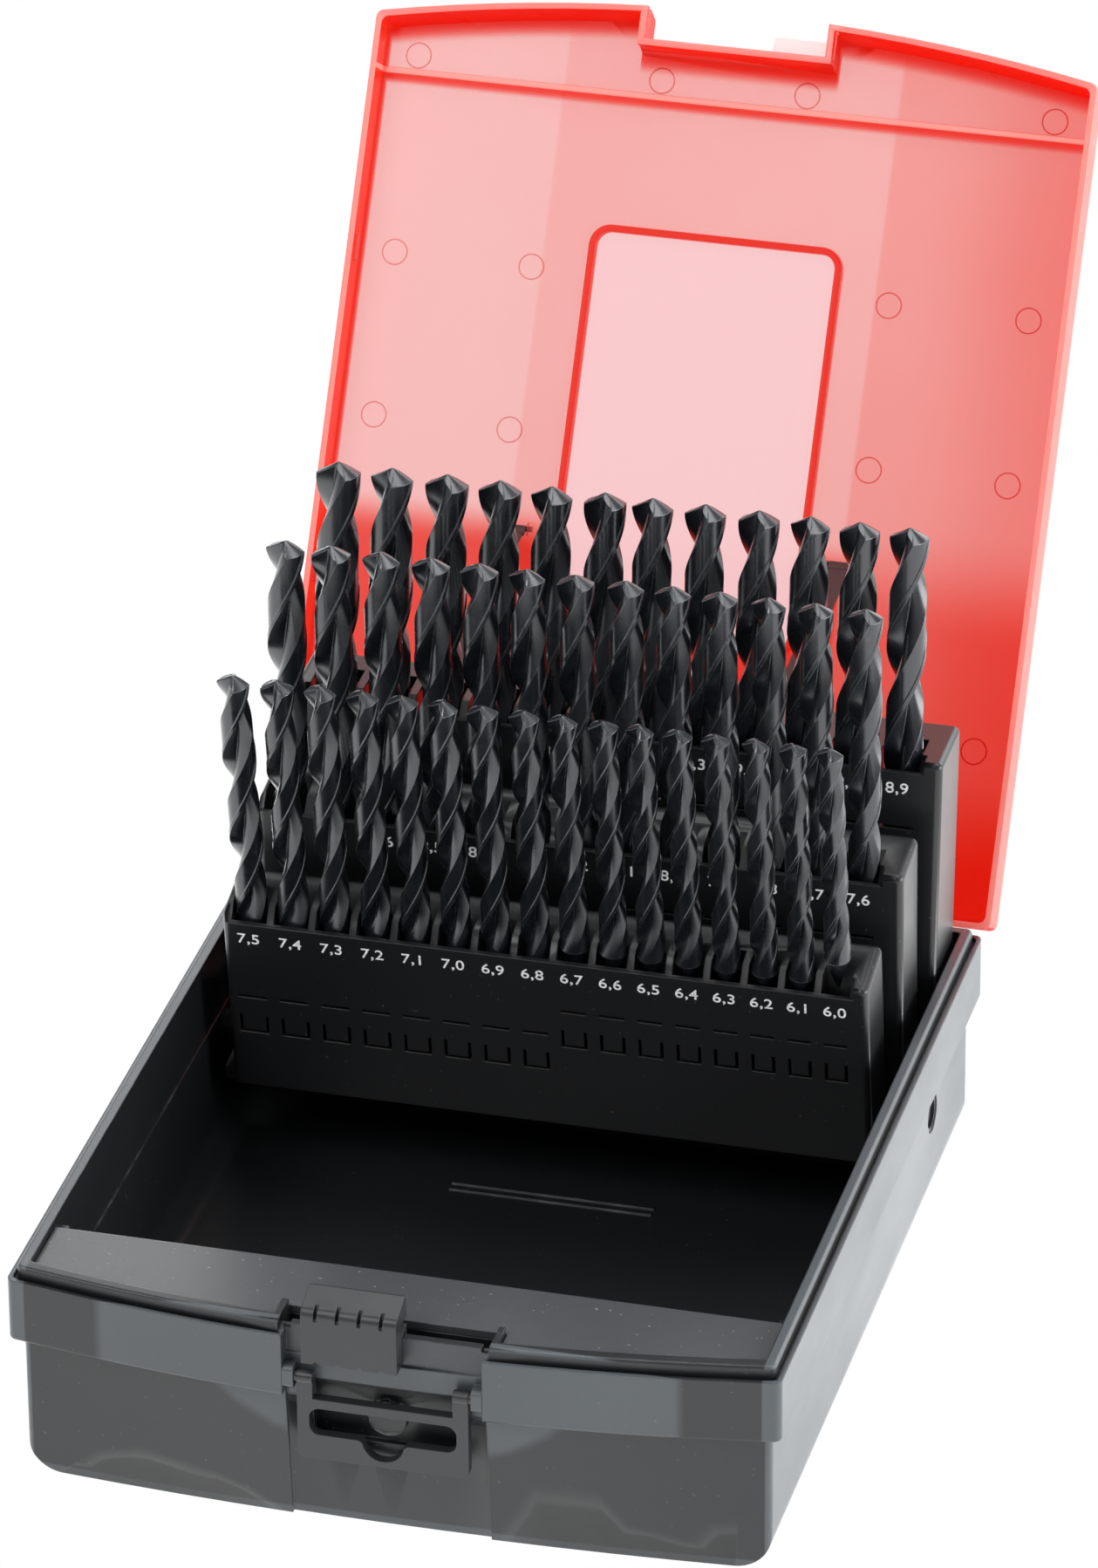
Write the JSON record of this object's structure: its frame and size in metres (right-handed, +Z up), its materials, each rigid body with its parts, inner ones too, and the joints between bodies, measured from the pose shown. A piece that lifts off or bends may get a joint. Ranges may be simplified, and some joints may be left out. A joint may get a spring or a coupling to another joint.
{
  "type": "drill bit case",
  "caption": "Hinged case for twist drills; opening the clear-windowed lid fans three racks of drills upright. Sliding latch and fold-out hang tab.",
  "frame": {"origin": "centre of the base's underside, midway between its side walls and midway along its straight sides", "axes": "+X to the case's right as seen from its front, +Y towards the lid hinge at the back, +Z up; the lid stands open and the racks are fanned upright"},
  "size_m": [0.17, 0.3234, 0.2169],
  "materials": {
    "case_grey": "semi-gloss moulded, lightly grained",
    "rack_black": "satin moulded",
    "pivot_black": "semi-gloss moulded",
    "slider_black": "semi-gloss moulded",
    "lid_red": "translucent gloss",
    "strap_brown": "satin moulded",
    "link_grey": "satin moulded",
    "drill_steel": "black oxide, ground flutes",
    "steel": "ground"
  },
  "bodies": {
    "case": {"case_base": "case_grey", "front_shelf": "case_grey", "hinge_pins": "steel", "pivot_studs": "pivot_black"},
    "lid": {"lid": "lid_red"},
    "straps": {"strap_left": "strap_brown", "strap_right": "strap_brown"},
    "rack_front": {"rack_front": "rack_black"},
    "rack_middle": {"rack_middle": "rack_black"},
    "rack_back": {"rack_back": "rack_black"},
    "links_front": {"fan_links_front": "link_grey"},
    "links_middle": {"fan_links_middle": "link_grey"},
    "latch": {"latch_slider": "slider_black"},
    "hanger": {"hang_tab": "slider_black"},
    "bit_060": {"drill_060": "drill_steel"},
    "bit_061": {"drill_061": "drill_steel"},
    "bit_062": {"drill_062": "drill_steel"},
    "bit_063": {"drill_063": "drill_steel"},
    "bit_064": {"drill_064": "drill_steel"},
    "bit_065": {"drill_065": "drill_steel"},
    "bit_066": {"drill_066": "drill_steel"},
    "bit_067": {"drill_067": "drill_steel"},
    "bit_068": {"drill_068": "drill_steel"},
    "bit_069": {"drill_069": "drill_steel"},
    "bit_070": {"drill_070": "drill_steel"},
    "bit_071": {"drill_071": "drill_steel"},
    "bit_072": {"drill_072": "drill_steel"},
    "bit_073": {"drill_073": "drill_steel"},
    "bit_074": {"drill_074": "drill_steel"},
    "bit_075": {"drill_075": "drill_steel"},
    "bit_076": {"drill_076": "drill_steel"},
    "bit_077": {"drill_077": "drill_steel"},
    "bit_078": {"drill_078": "drill_steel"},
    "bit_079": {"drill_079": "drill_steel"},
    "bit_080": {"drill_080": "drill_steel"},
    "bit_081": {"drill_081": "drill_steel"},
    "bit_082": {"drill_082": "drill_steel"},
    "bit_083": {"drill_083": "drill_steel"},
    "bit_084": {"drill_084": "drill_steel"},
    "bit_085": {"drill_085": "drill_steel"},
    "bit_086": {"drill_086": "drill_steel"},
    "bit_087": {"drill_087": "drill_steel"},
    "bit_088": {"drill_088": "drill_steel"},
    "bit_089": {"drill_089": "drill_steel"},
    "bit_090": {"drill_090": "drill_steel"},
    "bit_091": {"drill_091": "drill_steel"},
    "bit_092": {"drill_092": "drill_steel"},
    "bit_093": {"drill_093": "drill_steel"},
    "bit_094": {"drill_094": "drill_steel"},
    "bit_095": {"drill_095": "drill_steel"},
    "bit_096": {"drill_096": "drill_steel"},
    "bit_097": {"drill_097": "drill_steel"},
    "bit_098": {"drill_098": "drill_steel"},
    "bit_099": {"drill_099": "drill_steel"},
    "bit_100": {"drill_100": "drill_steel"}
  },
  "joints": [
    {"name": "lid_hinge", "type": "hinge", "parent": "case", "child": "lid", "pos_m": [0, 0.1, 0.045], "axis": [1, 0, 0], "range_deg": [0, 121.7]},
    {"name": "rack_front_fold", "type": "hinge", "parent": "case", "child": "rack_front", "pos_m": [0, 0.0586, 0.0237], "axis": [1, 0, 0], "range_deg": [0, 82.01]},
    {"name": "rack_middle_fold", "type": "hinge", "parent": "case", "child": "rack_middle", "pos_m": [0, 0.0586, 0.0237], "axis": [1, 0, 0], "range_deg": [0, 88.51]},
    {"name": "rack_back_fold", "type": "hinge", "parent": "case", "child": "rack_back", "pos_m": [0, 0.0586, 0.0237], "axis": [1, 0, 0], "range_deg": [0, 95.01]},
    {"name": "strap_swing", "type": "hinge", "parent": "lid", "child": "straps", "pos_m": [0, 0.15262, 0.10888], "axis": [1, 0, 0], "range_deg": [-128.3, 0]},
    {"name": "links_front_swing", "type": "hinge", "parent": "rack_front", "child": "links_front", "pos_m": [0, 0.0488, 0.04959], "axis": [1, 0, 0], "range_deg": [0, 31]},
    {"name": "links_middle_swing", "type": "hinge", "parent": "rack_middle", "child": "links_middle", "pos_m": [0, 0.068, 0.06196], "axis": [1, 0, 0], "range_deg": [0, 39]},
    {"name": "latch_slide", "type": "slide", "parent": "case", "child": "latch", "axis": [1, 0, 0], "range_m": [0, 0.0155]},
    {"name": "hanger_swing", "type": "hinge", "parent": "case", "child": "hanger", "pos_m": [0, -0.10285, 0.0382], "axis": [-1, 0, 0], "range_deg": [0, 95]},
    {"name": "bit_060_seat", "type": "slide", "parent": "rack_front", "child": "bit_060", "axis": [0, 0.1392, -0.9903], "range_m": [-0.0281, 0]},
    {"name": "bit_061_seat", "type": "slide", "parent": "rack_front", "child": "bit_061", "axis": [0, 0.1392, -0.9903], "range_m": [-0.0361, 0]},
    {"name": "bit_062_seat", "type": "slide", "parent": "rack_front", "child": "bit_062", "axis": [0, 0.1392, -0.9903], "range_m": [-0.0361, 0]},
    {"name": "bit_063_seat", "type": "slide", "parent": "rack_front", "child": "bit_063", "axis": [0, 0.1392, -0.9903], "range_m": [-0.0361, 0]},
    {"name": "bit_064_seat", "type": "slide", "parent": "rack_front", "child": "bit_064", "axis": [0, 0.1392, -0.9903], "range_m": [-0.0361, 0]},
    {"name": "bit_065_seat", "type": "slide", "parent": "rack_front", "child": "bit_065", "axis": [0, 0.1392, -0.9903], "range_m": [-0.0361, 0]},
    {"name": "bit_066_seat", "type": "slide", "parent": "rack_front", "child": "bit_066", "axis": [0, 0.1392, -0.9903], "range_m": [-0.0361, 0]},
    {"name": "bit_067_seat", "type": "slide", "parent": "rack_front", "child": "bit_067", "axis": [0, 0.1392, -0.9903], "range_m": [-0.0361, 0]},
    {"name": "bit_068_seat", "type": "slide", "parent": "rack_front", "child": "bit_068", "axis": [0, 0.1392, -0.9903], "range_m": [-0.0441, 0]},
    {"name": "bit_069_seat", "type": "slide", "parent": "rack_front", "child": "bit_069", "axis": [0, 0.1392, -0.9903], "range_m": [-0.0441, 0]},
    {"name": "bit_070_seat", "type": "slide", "parent": "rack_front", "child": "bit_070", "axis": [0, 0.1392, -0.9903], "range_m": [-0.0441, 0]},
    {"name": "bit_071_seat", "type": "slide", "parent": "rack_front", "child": "bit_071", "axis": [0, 0.1392, -0.9903], "range_m": [-0.0441, 0]},
    {"name": "bit_072_seat", "type": "slide", "parent": "rack_front", "child": "bit_072", "axis": [0, 0.1392, -0.9903], "range_m": [-0.0441, 0]},
    {"name": "bit_073_seat", "type": "slide", "parent": "rack_front", "child": "bit_073", "axis": [0, 0.1392, -0.9903], "range_m": [-0.0441, 0]},
    {"name": "bit_074_seat", "type": "slide", "parent": "rack_front", "child": "bit_074", "axis": [0, 0.1392, -0.9903], "range_m": [-0.0441, 0]},
    {"name": "bit_075_seat", "type": "slide", "parent": "rack_front", "child": "bit_075", "axis": [0, 0.1392, -0.9903], "range_m": [-0.0441, 0]},
    {"name": "bit_076_seat", "type": "slide", "parent": "rack_middle", "child": "bit_076", "axis": [0, 0.0262, -0.9997], "range_m": [-0.0502, 0]},
    {"name": "bit_077_seat", "type": "slide", "parent": "rack_middle", "child": "bit_077", "axis": [0, 0.0262, -0.9997], "range_m": [-0.0502, 0]},
    {"name": "bit_078_seat", "type": "slide", "parent": "rack_middle", "child": "bit_078", "axis": [0, 0.0262, -0.9997], "range_m": [-0.0502, 0]},
    {"name": "bit_079_seat", "type": "slide", "parent": "rack_middle", "child": "bit_079", "axis": [0, 0.0262, -0.9997], "range_m": [-0.0502, 0]},
    {"name": "bit_080_seat", "type": "slide", "parent": "rack_middle", "child": "bit_080", "axis": [0, 0.0262, -0.9997], "range_m": [-0.0502, 0]},
    {"name": "bit_081_seat", "type": "slide", "parent": "rack_middle", "child": "bit_081", "axis": [0, 0.0262, -0.9997], "range_m": [-0.0502, 0]},
    {"name": "bit_082_seat", "type": "slide", "parent": "rack_middle", "child": "bit_082", "axis": [0, 0.0262, -0.9997], "range_m": [-0.0502, 0]},
    {"name": "bit_083_seat", "type": "slide", "parent": "rack_middle", "child": "bit_083", "axis": [0, 0.0262, -0.9997], "range_m": [-0.0502, 0]},
    {"name": "bit_084_seat", "type": "slide", "parent": "rack_middle", "child": "bit_084", "axis": [0, 0.0262, -0.9997], "range_m": [-0.0502, 0]},
    {"name": "bit_085_seat", "type": "slide", "parent": "rack_middle", "child": "bit_085", "axis": [0, 0.0262, -0.9997], "range_m": [-0.0502, 0]},
    {"name": "bit_086_seat", "type": "slide", "parent": "rack_middle", "child": "bit_086", "axis": [0, 0.0262, -0.9997], "range_m": [-0.0582, 0]},
    {"name": "bit_087_seat", "type": "slide", "parent": "rack_middle", "child": "bit_087", "axis": [0, 0.0262, -0.9997], "range_m": [-0.0582, 0]},
    {"name": "bit_088_seat", "type": "slide", "parent": "rack_middle", "child": "bit_088", "axis": [0, 0.0262, -0.9997], "range_m": [-0.0582, 0]},
    {"name": "bit_089_seat", "type": "slide", "parent": "rack_back", "child": "bit_089", "axis": [0, -0.0872, -0.9962], "range_m": [-0.0686, 0]},
    {"name": "bit_090_seat", "type": "slide", "parent": "rack_back", "child": "bit_090", "axis": [0, -0.0872, -0.9962], "range_m": [-0.0686, 0]},
    {"name": "bit_091_seat", "type": "slide", "parent": "rack_back", "child": "bit_091", "axis": [0, -0.0872, -0.9962], "range_m": [-0.0686, 0]},
    {"name": "bit_092_seat", "type": "slide", "parent": "rack_back", "child": "bit_092", "axis": [0, -0.0872, -0.9962], "range_m": [-0.0686, 0]},
    {"name": "bit_093_seat", "type": "slide", "parent": "rack_back", "child": "bit_093", "axis": [0, -0.0872, -0.9962], "range_m": [-0.0686, 0]},
    {"name": "bit_094_seat", "type": "slide", "parent": "rack_back", "child": "bit_094", "axis": [0, -0.0872, -0.9962], "range_m": [-0.0686, 0]},
    {"name": "bit_095_seat", "type": "slide", "parent": "rack_back", "child": "bit_095", "axis": [0, -0.0872, -0.9962], "range_m": [-0.0686, 0]},
    {"name": "bit_096_seat", "type": "slide", "parent": "rack_back", "child": "bit_096", "axis": [0, -0.0872, -0.9962], "range_m": [-0.0766, 0]},
    {"name": "bit_097_seat", "type": "slide", "parent": "rack_back", "child": "bit_097", "axis": [0, -0.0872, -0.9962], "range_m": [-0.0766, 0]},
    {"name": "bit_098_seat", "type": "slide", "parent": "rack_back", "child": "bit_098", "axis": [0, -0.0872, -0.9962], "range_m": [-0.0766, 0]},
    {"name": "bit_099_seat", "type": "slide", "parent": "rack_back", "child": "bit_099", "axis": [0, -0.0872, -0.9962], "range_m": [-0.0766, 0]},
    {"name": "bit_100_seat", "type": "slide", "parent": "rack_back", "child": "bit_100", "axis": [0, -0.0872, -0.9962], "range_m": [-0.0766, 0]}
  ],
  "couplings": [
    {"joint": "rack_front_fold", "follows": "lid_hinge", "ratio": 0.67379},
    {"joint": "rack_middle_fold", "follows": "lid_hinge", "ratio": 0.7272},
    {"joint": "rack_back_fold", "follows": "lid_hinge", "ratio": 0.78061},
    {"joint": "strap_swing", "follows": "lid_hinge", "ratio": -1.0538},
    {"joint": "links_front_swing", "follows": "lid_hinge", "ratio": 0.25472},
    {"joint": "links_middle_swing", "follows": "lid_hinge", "ratio": 0.32046}
  ]
}
